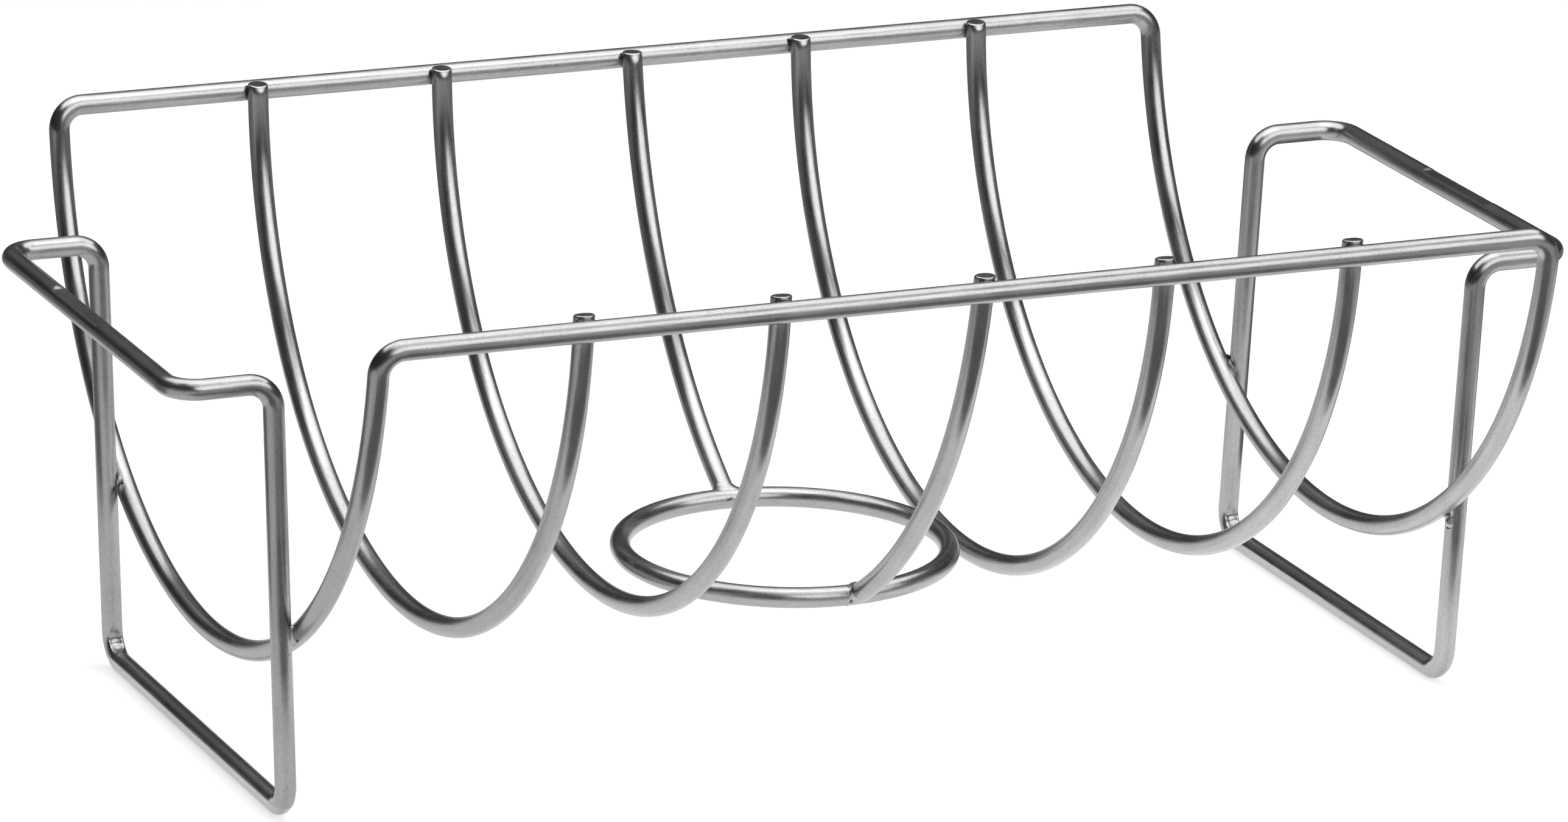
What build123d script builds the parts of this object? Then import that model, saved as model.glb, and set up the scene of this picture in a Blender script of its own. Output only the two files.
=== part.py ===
"""Welded wire roasting rack: a U-shaped basket of bent wires with a can ring in its floor,
standing on a wire leg frame at each end that also carries a lift handle.

Millimetres. X runs along the rails, Y from front to back, Z up. The origin is on the ground,
in the middle of the rack. Nothing moves: every joint between two wires is a weld.
"""

import os
from math import asin, atan2, cos, degrees, radians, sin, sqrt, tan

from build123d import *

# ---------------------------------------------------------------- driving dimensions

wire_diameter = 6.0            # one gauge of round wire for the whole rack

# basket frame: one closed loop of two rails and two end U wires
end_plane_x = 175.0            # middle of the rack to the centre plane of an end U
rail_top_z = 154.5             # ground to the top of the rails
basket_floor_z = 30.0          # ground to the underside of the lowest basket wires
end_u_radius = 131.5           # bend radius of an end U, on the wire's centreline
rail_corner_radius = 7.0       # centreline bend between a rail and an end U

# ribs: four full ones, and a middle one that the can ring interrupts
rib_pitch = 57.5               # spacing of the full ribs along the rails
rib_set_in = 1.6               # how far a rib's end is pressed into the rail at its weld
front_tip_rise = 3.7           # rail centreline to a rib's cut end, at the front
back_tip_rise = 2.8            # and at the back
rib_tip_bevel = 0.5            # broken edge round a rib's cut end
half_rib_x = 3.0               # the two half ribs, measured from the middle of the rack
half_rib_radius = 160.0        # centreline bend of a half rib, flatter than a full one

# can ring
ring_inner_diameter = 89.0     # what a can or a cup drops into
ring_x = 0.8
ring_top_z = 42.0              # ground to the top of the ring
ring_seam_angle = 268.0        # where the ring's two ends are butted, from +X
ring_seam_gap = 1.0            # filled by the seam weld
ring_set_in = 0.8              # how far a half rib's square end is pressed into the ring

# leg frames: foot bar, two posts, two stubs and the handle bar, in one closed loop
post_y = 72.0                  # middle of the rack to a post
leg_set_in = 0.5               # how far a post is pressed into the end U at its weld
leg_lean = 2.25                # degrees that the posts lean outwards, going up
handle_top_z = 130.0           # ground to the top of the handle bar
finger_gap = 22.0              # clear width between a post's top and the handle bar
foot_bend_radius = 8.0         # centreline bends of the leg loop
post_top_bend_radius = 7.5
handle_bend_radius = 8.5
pad_length = 42.0              # pressed flat on top of the handle bar, ramps included
pad_ramp = 5.0
pad_depth = 0.8
pad_offset_y = 5.5             # the flat sits off the middle of the bar

# weld metal
rail_bead_radius = 1.2
rail_bead_length = 3.2
rail_bead_taper = 0.6          # at the bead's two ends
rail_bead_offset = 0.15        # bead's axis to the wires' nearest tangent lines
leg_bead_radius = 2.1
leg_bead_length = 5.0
leg_bead_taper = 1.2
front_bead_radius = 1.3        # on each side of the front half rib's end
front_bead_length = 4.0
collar_length = 2.4            # fillet round a half rib's end, where it meets the ring
collar_spread = 1.0
seam_bead_width = 2.4
seam_bead_rise = 0.25

# ---------------------------------------------------------------- derived sizes

wire_radius = wire_diameter / 2
rail_z = rail_top_z - wire_radius
bottom_z = basket_floor_z + wire_radius

# An end U is an arc about the X axis. Short tangents, as long as the corner's bend needs,
# carry it up to the corner, and the corner's height fixes how far out the rail lies.
end_u_centre_z = bottom_z + end_u_radius
corner_drop = end_u_centre_z - rail_z
rail_y = sqrt(end_u_radius**2 + rail_corner_radius**2 - corner_drop**2)
corner_angle = asin(corner_drop / sqrt(rail_y**2 + corner_drop**2))
tangent_angle = corner_angle + asin(rail_corner_radius / sqrt(rail_y**2 + corner_drop**2))
end_u_start_y = end_u_radius * cos(tangent_angle)
end_u_start_z = end_u_centre_z - end_u_radius * sin(tangent_angle)

# A full rib is an arc through the point beside each rail and the basket's lowest line.
rib_side_y = rail_y - wire_diameter + rib_set_in
rib_depth = rail_z - bottom_z
rib_radius = (rib_side_y**2 + rib_depth**2) / (2 * rib_depth)
rib_centre_z = bottom_z + rib_radius


def rib_tip(side):
    """Distance from the middle, and height, of a full rib's cut end at the front or the back."""
    tip_z = rail_z + (front_tip_rise if side < 0 else back_tip_rise)
    return sqrt(rib_radius**2 - (rib_centre_z - tip_z) ** 2), tip_z


ring_radius = ring_inner_diameter / 2 + wire_radius
ring_z = ring_top_z - wire_radius

# The posts touch the end U wires on the outside, where the arc passes the posts.
contact_z = end_u_centre_z - sqrt(end_u_radius**2 - post_y**2)
contact_x = end_plane_x + wire_diameter - leg_set_in
handle_z = handle_top_z - wire_radius


def post_x(z):
    """Centreline of a leaning post at a height."""
    return contact_x + (z - contact_z) * tan(radians(leg_lean))


handle_reach_x = post_x(handle_z) + wire_diameter + finger_gap


def finish(part, name):
    part.label = name
    export_step(part, f"parts/{name}.step")


os.makedirs("parts", exist_ok=True)

# ---------------------------------------------------------------- basket frame

with BuildPart() as basket_frame:
    with BuildLine() as frame_line:
        for side in (-1, 1):
            rail_end_x = end_plane_x - rail_corner_radius
            Line((-rail_end_x, side * rail_y, rail_z), (rail_end_x, side * rail_y, rail_z))
            end_x = side * end_plane_x
            ThreePointArc(
                (end_x, -end_u_start_y, end_u_start_z),
                (end_x, 0, bottom_z),
                (end_x, end_u_start_y, end_u_start_z),
            )
            for end in (-1, 1):
                TangentArc(
                    (end * rail_end_x, side * rail_y, rail_z),
                    (end * end_plane_x, side * end_u_start_y, end_u_start_z),
                    tangent=(end, 0, 0),
                )
    with BuildSketch(Plane(origin=(0, -rail_y, rail_z), z_dir=(1, 0, 0))):
        Circle(wire_radius)
    sweep(path=frame_line.wires()[0])
finish(basket_frame.part, "basket_frame")

# ---------------------------------------------------------------- can ring

# bent from one wire, with its two ends left a weld's width apart
seam_half_angle = degrees(ring_seam_gap / 2 / ring_radius)

with BuildPart() as can_ring:
    with BuildLine(Plane.XY.offset(ring_z)) as ring_line:
        CenterArc(
            (ring_x, 0),
            ring_radius,
            ring_seam_angle + seam_half_angle,
            360 - 2 * seam_half_angle,
        )
    with BuildSketch(Plane(origin=ring_line.line @ 0, z_dir=ring_line.line % 0)):
        Circle(wire_radius)
    sweep(path=ring_line.line)
finish(can_ring.part, "can_ring")

# ---------------------------------------------------------------- full ribs

ribs = {}
for number, pitches in ((1, -2), (2, -1), (4, 1), (5, 2)):
    rib_x = pitches * rib_pitch
    front_tip_y, front_tip_z = rib_tip(-1)
    back_tip_y, back_tip_z = rib_tip(1)
    with BuildPart() as rib:
        with BuildLine() as rib_line:
            ThreePointArc(
                (rib_x, -front_tip_y, front_tip_z),
                (rib_x, 0, bottom_z),
                (rib_x, back_tip_y, back_tip_z),
            )
        with BuildSketch(Plane(origin=rib_line.line @ 0, z_dir=rib_line.line % 0)):
            Circle(wire_radius)
        sweep(path=rib_line.line)
        tips = rib.faces().filter_by(GeomType.PLANE)
        chamfer(tips.edges(), rib_tip_bevel)
        # the rail beds into each end of the rib
        add(basket_frame.part, mode=Mode.SUBTRACT)
    ribs[rib_x] = rib.part
    finish(rib.part, f"rib_{number}")

# ---------------------------------------------------------------- half ribs

# In a half rib's own plane, u is the distance from the middle of the rack and v the height.
# It is an arc from its tip to the ring's centreline, stopped short where it meets the ring.
half_ribs = {}
half_rib_ends = {}
for side, place in ((-1, "front"), (1, "back")):
    tip_u, tip_v = rib_tip(side)
    chord_u = ring_radius - tip_u
    chord_v = ring_z - tip_v
    chord = sqrt(chord_u**2 + chord_v**2)
    bulge = sqrt(half_rib_radius**2 - (chord / 2) ** 2)
    centre_u = (ring_radius + tip_u) / 2 + bulge * chord_v / chord
    centre_v = (ring_z + tip_v) / 2 - bulge * chord_u / chord
    tip_angle = degrees(atan2(tip_v - centre_v, tip_u - centre_u))
    ring_angle = degrees(atan2(ring_z - centre_v, ring_radius - centre_u))
    stop_angle = ring_angle + degrees((wire_radius - ring_set_in) / half_rib_radius)
    half_rib_plane = Plane(origin=(half_rib_x, 0, 0), x_dir=(0, side, 0), z_dir=(side, 0, 0))
    with BuildPart() as half_rib:
        with BuildLine(half_rib_plane) as rib_line:
            CenterArc(
                (centre_u, centre_v),
                half_rib_radius,
                tip_angle,
                stop_angle - tip_angle,
            )
        with BuildSketch(Plane(origin=rib_line.line @ 0, z_dir=rib_line.line % 0)):
            Circle(wire_radius)
        sweep(path=rib_line.line)
        tip = half_rib.faces().filter_by(GeomType.PLANE).sort_by(Axis.Z)[-1]
        chamfer(tip.edges(), rib_tip_bevel)
        # the rail and the ring bed into its two ends
        add(basket_frame.part, mode=Mode.SUBTRACT)
        add(can_ring.part, mode=Mode.SUBTRACT)
    half_ribs[place] = half_rib.part
    half_rib_ends[place] = (rib_line.line @ 1, rib_line.line % 1)
    finish(half_rib.part, f"half_rib_{place}")

# ---------------------------------------------------------------- leg frames

legs = {}
for side, place in ((-1, "left"), (1, "right")):
    foot_x = side * post_x(wire_radius)
    top_x = side * post_x(handle_z)
    handle_x = side * handle_reach_x
    # the two legs are the same part turned half round, so their flats face opposite ways
    pad_y = -side * pad_offset_y
    with BuildPart() as leg:
        with BuildLine() as leg_line:
            FilletPolyline(
                (foot_x, post_y, wire_radius),
                (top_x, post_y, handle_z),
                (handle_x, post_y, handle_z),
                (handle_x, -post_y, handle_z),
                (top_x, -post_y, handle_z),
                (foot_x, -post_y, wire_radius),
                radius=(
                    foot_bend_radius,
                    post_top_bend_radius,
                    handle_bend_radius,
                    handle_bend_radius,
                    post_top_bend_radius,
                    foot_bend_radius,
                ),
                close=True,
            )
        with BuildSketch(Plane(origin=(foot_x, 0, wire_radius), z_dir=(0, 1, 0))):
            Circle(wire_radius)
        sweep(path=leg_line.wires()[0])
        # the flat pressed into the top of the handle bar, with a ramp at each end
        pad_plane = Plane(origin=(handle_x, pad_y, handle_top_z), x_dir=(0, 1, 0), z_dir=(1, 0, 0))
        with BuildSketch(pad_plane):
            with BuildLine():
                Polyline(
                    (-pad_length / 2, 0),
                    (-pad_length / 2 + pad_ramp, -pad_depth),
                    (pad_length / 2 - pad_ramp, -pad_depth),
                    (pad_length / 2, 0),
                    (pad_length / 2, wire_radius),
                    (-pad_length / 2, wire_radius),
                    close=True,
                )
            make_face()
        extrude(amount=wire_radius, both=True, mode=Mode.SUBTRACT)
        # the end U beds into the posts
        add(basket_frame.part, mode=Mode.SUBTRACT)
    legs[place] = leg.part
    finish(leg.part, f"leg_{place}")

# ---------------------------------------------------------------- weld metal

# two upright beads at each rib end, one in each corner between the rib's side and the rail
rail_beads = []
rib_ends = [(rib_x, side, part) for rib_x, part in ribs.items() for side in (-1, 1)]
rib_ends += [(half_rib_x, -1, half_ribs["front"]), (half_rib_x, 1, half_ribs["back"])]
for rib_x, side, rib_part in rib_ends:
    for hand in (-1, 1):
        bead_x = rib_x + hand * (wire_radius + rail_bead_offset)
        bead_y = side * (rail_y - wire_radius - rail_bead_offset)
        with BuildPart() as rail_bead:
            with Locations((bead_x, bead_y, rail_z)):
                Cylinder(rail_bead_radius, rail_bead_length)
            chamfer(rail_bead.edges().filter_by(GeomType.CIRCLE), rail_bead_taper)
            add(basket_frame.part, mode=Mode.SUBTRACT)
            add(rib_part, mode=Mode.SUBTRACT)
        rail_beads += rail_bead.part.solids()

with BuildPart() as rail_welds:
    add(rail_beads, clean=False)
finish(rail_welds.part, "rail_welds")

# a bead on both sides of each post, where the end U passes behind it
leg_beads = []
for side, leg_part in ((-1, legs["left"]), (1, legs["right"])):
    for place in (-1, 1):
        for hand in (-1, 1):
            bead_y = post_y + hand * wire_radius
            bead_z = end_u_centre_z - sqrt(end_u_radius**2 - bead_y**2)
            with BuildPart() as leg_bead:
                with Locations((side * (contact_x + end_plane_x) / 2, place * bead_y, bead_z)):
                    Cylinder(leg_bead_radius, leg_bead_length)
                chamfer(leg_bead.edges().filter_by(GeomType.CIRCLE), leg_bead_taper)
                add(basket_frame.part, mode=Mode.SUBTRACT)
                add(leg_part, mode=Mode.SUBTRACT)
            leg_beads += leg_bead.part.solids()

with BuildPart() as leg_welds:
    add(leg_beads, clean=False)
finish(leg_welds.part, "leg_welds")

# a fillet round the back half rib's end, a bead on each side of the front one's, and the seam
with BuildPart() as ring_welds:
    end_point, end_direction = half_rib_ends["back"]
    with BuildSketch(Plane(origin=end_point, z_dir=-end_direction)):
        Circle(wire_radius + collar_spread)
    extrude(amount=collar_length, taper=degrees(atan2(collar_spread / 2, collar_length)))
    end_point, end_direction = half_rib_ends["front"]
    with Locations(*(end_point + Vector(hand * wire_radius, 0, 0) for hand in (-1, 1))):
        Cylinder(front_bead_radius, front_bead_length)
    seam_turn = radians(ring_seam_angle)
    seam_point = (ring_x + ring_radius * cos(seam_turn), ring_radius * sin(seam_turn), ring_z)
    with BuildSketch(Plane(origin=seam_point, z_dir=(-sin(seam_turn), cos(seam_turn), 0))):
        Circle(wire_radius + seam_bead_rise)
    extrude(amount=seam_bead_width / 2, both=True)
    add(can_ring.part, mode=Mode.SUBTRACT)
    for rib_part in half_ribs.values():
        add(rib_part, mode=Mode.SUBTRACT)
finish(ring_welds.part, "ring_welds")
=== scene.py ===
"""Looks of the welded wire roasting rack: drawn stainless wires, their cut ends, marks and welds.

Metres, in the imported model's own frame: X along the rails, Y from front to back, Z up.
"""

import math

import bmesh
import bpy
import numpy as np
from mathutils import Matrix, Quaternion, Vector, noise


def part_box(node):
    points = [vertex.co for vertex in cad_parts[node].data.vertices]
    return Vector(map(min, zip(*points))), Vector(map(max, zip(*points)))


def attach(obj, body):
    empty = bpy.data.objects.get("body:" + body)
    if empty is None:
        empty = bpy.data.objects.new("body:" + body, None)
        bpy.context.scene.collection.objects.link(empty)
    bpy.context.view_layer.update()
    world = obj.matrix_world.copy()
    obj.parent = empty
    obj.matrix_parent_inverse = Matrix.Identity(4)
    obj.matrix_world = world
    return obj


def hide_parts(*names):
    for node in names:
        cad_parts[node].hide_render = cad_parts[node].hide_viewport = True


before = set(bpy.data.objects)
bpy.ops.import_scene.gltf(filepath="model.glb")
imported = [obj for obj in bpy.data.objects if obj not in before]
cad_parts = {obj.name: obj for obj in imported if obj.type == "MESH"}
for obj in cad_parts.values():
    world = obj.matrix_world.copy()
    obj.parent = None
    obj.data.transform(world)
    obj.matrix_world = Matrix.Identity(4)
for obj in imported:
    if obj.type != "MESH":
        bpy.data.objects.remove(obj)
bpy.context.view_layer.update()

MM = 0.001
SEED = 11
X, Y, Z = Vector((1, 0, 0)), Vector((0, 1, 0)), Vector((0, 0, 1))

# ---------------------------------------------------------------- sizes, mostly from the frame

ring_low, ring_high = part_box("can_ring")
wire_radius = (ring_high.z - ring_low.z) / 2
ring_centre = (ring_low + ring_high) / 2
ring_radius = (ring_high.y - ring_low.y) / 2 - wire_radius
ring_seam_angle = math.radians(268)

basket_low, basket_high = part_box("basket_frame")
end_x = basket_high.x - wire_radius
rail_y = basket_high.y - wire_radius
rail_z = basket_high.z - wire_radius
floor_z = basket_low.z + wire_radius
basket_depth = rail_z - floor_z
corner_bend = 7 * MM
end_u_radius = (rail_y**2 + basket_depth**2 - corner_bend**2) / (2 * basket_depth)
end_u_centre_z = floor_z + end_u_radius

rib_set_in = 1.6 * MM          # how far a rib and a rail have melted into each other
rib_side_y = rail_y - 2 * wire_radius + rib_set_in
rib_radius = (rib_side_y**2 + basket_depth**2) / (2 * basket_depth)
rib_centre_z = floor_z + rib_radius
front_tip_z = rail_z + 3.7 * MM    # the ribs' cut ends stand above the rails
back_tip_z = rail_z + 2.8 * MM
tip_bevel = 0.5 * MM
tip_bevel_steps = (0, 0.03, 0.12, 0.28, 0.5, 0.75)
half_rib_radius = 160 * MM

leg_low, leg_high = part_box("leg_right")
post_y = leg_high.y - wire_radius
handle_x = leg_high.x - wire_radius
handle_z = leg_high.z - wire_radius
leg_lean = math.radians(2.25)
foot_z = leg_low.z + wire_radius
foot_x = leg_low.x + wire_radius
post_top_x = foot_x + (handle_z - foot_z) * math.tan(leg_lean)
foot_bend = 8 * MM
post_top_bend = 7.5 * MM
handle_bend = 8.5 * MM
flat_length = 42 * MM
flat_depth = 0.8 * MM
flat_ramp = 2.6 * MM
flat_offset = 5.5 * MM         # from the middle of the handle bar to the flat's
flat_edge = 0.06 * MM          # how softly the flat runs out into the round wire

dent_place = 5.3 * MM          # of the bending tool's mark, round the inside of the foot bend
dent_half_length = 3.7 * MM
dent_depth = 1.4 * MM
dent_hollow = 0.14 * MM        # how far it rises, a millimetre to the side of its middle
dent_edge = 0.05 * MM          # how soft its rim is
dent_bar_place = -1.5 * MM     # of the small bar left standing across it, from its middle
dent_bar_height = 0.25 * MM
dent_bar_half_length = 0.5 * MM
dent_bar_half_width = 1.2 * MM

shear_angle = math.radians(7)
shear_length = 2.2 * wire_radius
roll_length = 2.9 * MM         # the burr that the shears rolled over at a tip
roll_depth = 0.62 * MM
roll_ragged = 0.3              # the share by which its end comes and goes
roll_grain = 1.3 * MM

step = 0.9 * MM                # between the rings of a drawn wire's skin
sides = 40                     # round a wire

# ---------------------------------------------------------------- node helpers


def add_node(tree, kind, **settings):
    """A node, with its properties set."""
    node = tree.nodes.new(kind)
    for key, value in settings.items():
        setattr(node, key, value)
    return node


def noise_node(tree, vector, scale, detail, roughness=0.55):
    """Noise with so many grains to the metre."""
    node = add_node(tree, "ShaderNodeTexNoise")
    node.inputs["Scale"].default_value = scale
    node.inputs["Detail"].default_value = detail
    node.inputs["Roughness"].default_value = roughness
    tree.links.new(vector, node.inputs["Vector"])
    return node.outputs["Fac"]


def ranged(tree, value, low, high, to_low, to_high):
    """value, from low..high to to_low..to_high, clamped."""
    node = add_node(tree, "ShaderNodeMapRange")
    ends = {"From Min": low, "From Max": high, "To Min": to_low, "To Max": to_high}
    for name, number in ends.items():
        node.inputs[name].default_value = number
    tree.links.new(value, node.inputs["Value"])
    return node.outputs["Result"]


def combined(tree, operation, a, b):
    """One sum or product of two values, each a number or a socket."""
    node = add_node(tree, "ShaderNodeMath", operation=operation)
    for socket, value in zip(node.inputs, (a, b)):
        if isinstance(value, (int, float)):
            socket.default_value = value
        else:
            tree.links.new(value, socket)
    return node.outputs[0]


def weighted(tree, *parts):
    """The sum of values, each times its weight."""
    total = None
    for value, weight in parts:
        part = combined(tree, "MULTIPLY", value, weight)
        total = part if total is None else combined(tree, "ADD", total, part)
    return total


def scaled_vector(tree, vector, scale):
    """Places scaled along each axis; less than one draws a pattern out."""
    node = add_node(tree, "ShaderNodeMapping", vector_type="POINT")
    node.inputs["Scale"].default_value = scale
    tree.links.new(vector, node.inputs["Vector"])
    return node.outputs["Vector"]


def colour_between(tree, factor, dark, light):
    """A colour from dark at 0 to light at 1."""
    ramp = add_node(tree, "ShaderNodeValToRGB")
    ramp.color_ramp.elements[0].color = (*dark, 1)
    ramp.color_ramp.elements[1].color = (*light, 1)
    tree.links.new(factor, ramp.inputs["Fac"])
    return ramp.outputs["Color"]


def bumped(tree, height, strength, distance, below=None):
    """Normals roughened by a height, on top of the bumps below."""
    node = add_node(tree, "ShaderNodeBump")
    node.inputs["Strength"].default_value = strength
    node.inputs["Distance"].default_value = distance
    tree.links.new(height, node.inputs["Height"])
    if below is not None:
        tree.links.new(below, node.inputs["Normal"])
    return node.outputs["Normal"]


def new_metal(name):
    """A material with a bare metallic Principled shader; returns it, its tree and its shader."""
    material = bpy.data.materials.new(name)
    material.use_nodes = True
    tree = material.node_tree
    shader = tree.nodes["Principled BSDF"]
    shader.inputs["Metallic"].default_value = 1.0
    return material, tree, shader


def spread_round_wire(tree, shader, amount):
    """Fine lines along a wire spread its reflections round it, not along it."""
    along = add_node(tree, "ShaderNodeTangent", direction_type="UV_MAP", uv_map="OFBake")
    tree.links.new(along.outputs["Tangent"], shader.inputs["Tangent"])
    shader.inputs["Anisotropic"].default_value = amount
    shader.inputs["Anisotropic Rotation"].default_value = 0.25


# ---------------------------------------------------------------- metals

# the darkest and the lightest colour of each metal
drawn_colours = (0.375, 0.366, 0.374), (0.53, 0.518, 0.529)
sheared_colours = (0.09, 0.089, 0.088), (0.19, 0.188, 0.186)
# the burnt weld metal is near black: the burn of the weld, and painted shade where it fills the crevices
# between wires
burnt_and_shade_colours = (0.012, 0.011, 0.011), (0.20, 0.19, 0.19)
scorched_colours = (0.10, 0.095, 0.095), (0.42, 0.41, 0.41)
polished_colours = (0.42, 0.41, 0.418), (0.56, 0.547, 0.557)


def drawn_steel():
    """Bright drawn wire: soft reflections, broken up by fine lines and grains along the wire."""
    material, tree, shader = new_metal("drawn_steel")
    along_wire = add_node(tree, "ShaderNodeAttribute", attribute_name="straight").outputs["Vector"]

    def streaks(shortness, *grain):
        """Noise drawn out along the wire: the less its shortness, the longer its streaks."""
        return noise_node(tree, scaled_vector(tree, along_wire, (1, 1, shortness)), *grain)

    lines = streaks(0.03, 2300, 4, 0.6)
    grains = streaks(0.4, 2600, 3, 0.7)
    bands = streaks(0.10, 380, 3)
    patches = noise_node(tree, along_wire, 75, 3)
    specks = streaks(0.5, 900, 1)
    pits = ranged(tree, specks, 0.26, 0.32, 0.35, 1)
    tone = weighted(tree, (bands, 0.3), (patches, 0.25), (grains, 0.45))
    tone = combined(tree, "MULTIPLY", ranged(tree, tone, 0.36, 0.64, 0, 1), pits)
    tree.links.new(colour_between(tree, tone, *drawn_colours), shader.inputs["Base Color"])
    mixed = weighted(tree, (patches, 0.5), (lines, 0.5))
    tree.links.new(ranged(tree, mixed, 0.35, 0.65, 0.21, 0.32), shader.inputs["Roughness"])
    spread_round_wire(tree, shader, 0.65)
    normal = bumped(tree, lines, 1.0, 0.035 * MM)
    normal = bumped(tree, grains, 0.5, 0.02 * MM, normal)
    tree.links.new(normal, shader.inputs["Normal"])
    return material


def sheared_steel():
    """The cut ends of the ribs, dull and torn across by the shears."""
    material, tree, shader = new_metal("sheared_steel")
    place = add_node(tree, "ShaderNodeTexCoord").outputs["Object"]
    tears = noise_node(tree, scaled_vector(tree, place, (0.35, 1, 1)), 1500, 4)
    tone = ranged(tree, tears, 0.3, 0.7, 0, 1)
    tree.links.new(colour_between(tree, tone, *sheared_colours), shader.inputs["Base Color"])
    tree.links.new(ranged(tree, tears, 0.3, 0.7, 0.38, 0.55), shader.inputs["Roughness"])
    tree.links.new(bumped(tree, tears, 0.3, 0.03 * MM), shader.inputs["Normal"])
    return material


def weld_steel(name, colours, rough, ripple):
    """Metal that has flowed at a weld: stained, and rippled to a depth."""
    material, tree, shader = new_metal(name)
    place = add_node(tree, "ShaderNodeTexCoord").outputs["Object"]
    ripples = noise_node(tree, place, 1100, 4, 0.6)
    stains = noise_node(tree, place, 420, 3)
    tone = ranged(tree, stains, 0.35, 0.65, 0, 1)
    tree.links.new(colour_between(tree, tone, *colours), shader.inputs["Base Color"])
    tree.links.new(ranged(tree, ripples, 0.3, 0.7, rough, rough + 0.2), shader.inputs["Roughness"])
    tree.links.new(bumped(tree, ripples, 0.5, ripple), shader.inputs["Normal"])
    return material


steel = drawn_steel()
cut_steel = sheared_steel()
burnt_weld_and_shade = weld_steel("burnt_weld_and_shade", burnt_and_shade_colours, 0.30, 0.12 * MM)
scorched_weld = weld_steel("scorched_weld", scorched_colours, 0.28, 0.10 * MM)
polished_weld = weld_steel("polished_weld", polished_colours, 0.24, 0.04 * MM)

# ---------------------------------------------------------------- lines of the wires


def straight_run(start, end):
    """Points from start towards end, a step apart, without end."""
    count = max(1, round((end - start).length / step))
    return [start.lerp(end, i / count) for i in range(count)]


def bend_about(corner, before, after, radius):
    """Points round the bend that joins two straight runs at corner, with its two ends."""
    heading = (corner - before).normalized()
    leaving = (after - corner).normalized()
    turn = heading.angle(leaving)
    inwards = (leaving - heading * leaving.dot(heading)).normalized()
    start = corner - heading * radius * math.tan(turn / 2)
    count = max(4, round(radius * turn / step) + 2)
    angles = [turn * i / count for i in range(count + 1)]
    return [start + (heading * math.sin(a) + inwards * (1 - math.cos(a))) * radius for a in angles]


def closed_line(corners, radii):
    """A closed line of straight runs and bends that starts in the middle of its last run."""
    count = len(corners)
    middle = (corners[-1] + corners[0]) / 2
    points = []
    last = middle
    for i, (corner, radius) in enumerate(zip(corners, radii)):
        bend = bend_about(corner, corners[i - 1], corners[(i + 1) % count], radius)
        points += straight_run(last, bend[0]) + bend[:-1]
        last = bend[-1]
    return points + straight_run(last, middle)


def arc_point(centre, radius, angle, across, up):
    """The point at an angle on an arc, from across towards up."""
    return centre + (across * math.cos(angle) + up * math.sin(angle)) * radius


def basket_line():
    """Rail, end U, rail, end U, with a bend in each of the four top corners."""
    points = []
    for end in (1, -1):
        centre = Vector((end * end_x, 0, end_u_centre_z))
        corners = [Vector((end * end_x, side * rail_y, rail_z)) for side in (-end, end)]
        # where the end U's arc takes over from its short tangents below the corners
        reach = math.hypot(rail_y, end_u_centre_z - rail_z)
        drop = math.asin((end_u_centre_z - rail_z) / reach) + math.asin(corner_bend / reach)
        angles = [-math.pi + drop, -drop] if end > 0 else [-drop, -math.pi + drop]
        count = round(end_u_radius * abs(angles[1] - angles[0]) / step)
        arc = [
            arc_point(centre, end_u_radius, angles[0] + (angles[1] - angles[0]) * i / count, Y, Z)
            for i in range(count + 1)
        ]
        first = bend_about(corners[0], corners[0] - X * end, arc[0], corner_bend)
        last = bend_about(corners[1], arc[-1], corners[1] - X * end, corner_bend)
        rail_start = Vector((-end * (end_x - corner_bend), -end * rail_y, rail_z))
        points += straight_run(rail_start, first[0]) + first[:-1] + arc[:-1] + last[:-1]
    return points


def leg_line(side):
    """Foot bar, post, stub, handle bar, stub and post, round from the middle of the foot bar."""
    places = [(foot_x, 1, foot_z), (post_top_x, 1, handle_z), (handle_x, 1, handle_z)]
    places += [(x, -1, z) for x, _, z in reversed(places)]
    corners = [Vector((side * x, hand * post_y, z)) for x, hand, z in places]
    bends = (foot_bend, post_top_bend, handle_bend)
    return closed_line(corners, bends + bends[::-1])


def ring_line():
    """The ring, from its seam round to it."""
    count = round(2 * math.pi * ring_radius / step)
    turns = [ring_seam_angle + 2 * math.pi * i / count for i in range(count)]
    return [arc_point(ring_centre, ring_radius, a, X, Y) for a in turns]


def cut_arc(centre, radius, start, stop, across, up, cut_at_stop=True):
    """Points and widths along an arc of wire whose cut ends have a rounded edge."""
    length = radius * abs(stop - start)
    near_edge = [tip_bevel * share for share in tip_bevel_steps]
    count = round((length - 2 * tip_bevel) / step)
    inner = [tip_bevel + (length - 2 * tip_bevel) * i / count for i in range(count + 1)]
    far_edge = [length - place for place in reversed(near_edge)] if cut_at_stop else [length]
    places = near_edge + inner + far_edge
    points, widths = [], []
    for place in places:
        angle = start + (stop - start) * place / length
        points.append(arc_point(centre, radius, angle, across, up))
        gap = min(place, length - place) if cut_at_stop else place
        missing = max(0, 1 - gap / tip_bevel)
        widths.append(1 - tip_bevel / wire_radius * (1 - math.sqrt(1 - missing**2)))
    return points, widths


def tip_height(side):
    """How high a rib's end stands, at the front (-1) or the back (1)."""
    return front_tip_z if side < 0 else back_tip_z


def rib_line(rib_x):
    """An arc from the back tip down under the basket and up to the front tip."""
    centre = Vector((rib_x, 0, rib_centre_z))
    start = math.asin((tip_height(1) - rib_centre_z) / rib_radius)
    stop = -math.pi - math.asin((tip_height(-1) - rib_centre_z) / rib_radius)
    return cut_arc(centre, rib_radius, start, stop, Y, Z)


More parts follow.
